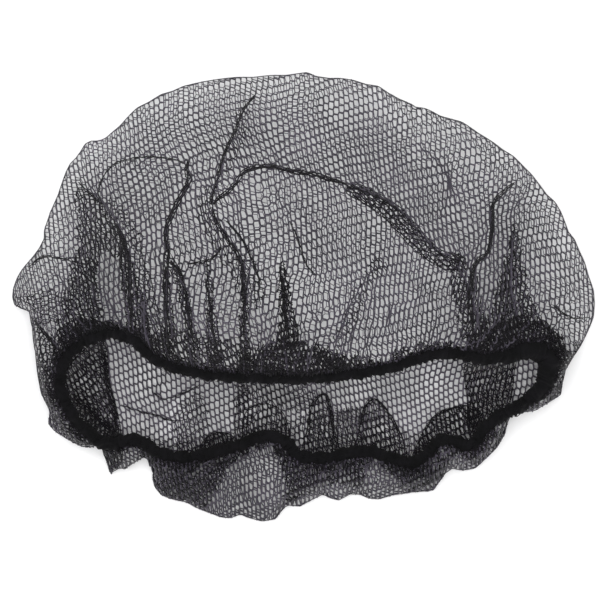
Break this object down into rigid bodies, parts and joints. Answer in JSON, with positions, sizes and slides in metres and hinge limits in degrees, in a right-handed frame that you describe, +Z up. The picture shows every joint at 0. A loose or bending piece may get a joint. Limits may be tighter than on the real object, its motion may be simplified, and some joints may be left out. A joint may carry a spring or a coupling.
{
  "type": "hairnet",
  "caption": "Fine mesh hairnet: a round pouch gathered on a wavy elastic band, lying with its mouth upwards.",
  "frame": {"origin": "middle of the floor that the net lies on, under the middle of its outline", "axes": "+Z up, +Y from the mouth towards the crown's back, +X along the elastic's long way"},
  "size_m": [0.2716, 0.2104, 0.0654],
  "materials": {
    "net_mesh": "fine black nylon mesh, matt with a slight sheen",
    "elastic": "black covered elastic, matt and slightly fuzzy"
  },
  "bodies": {
    "root": {"net_crown": "net_mesh", "elastic_band": "elastic"}
  },
  "joints": []
}
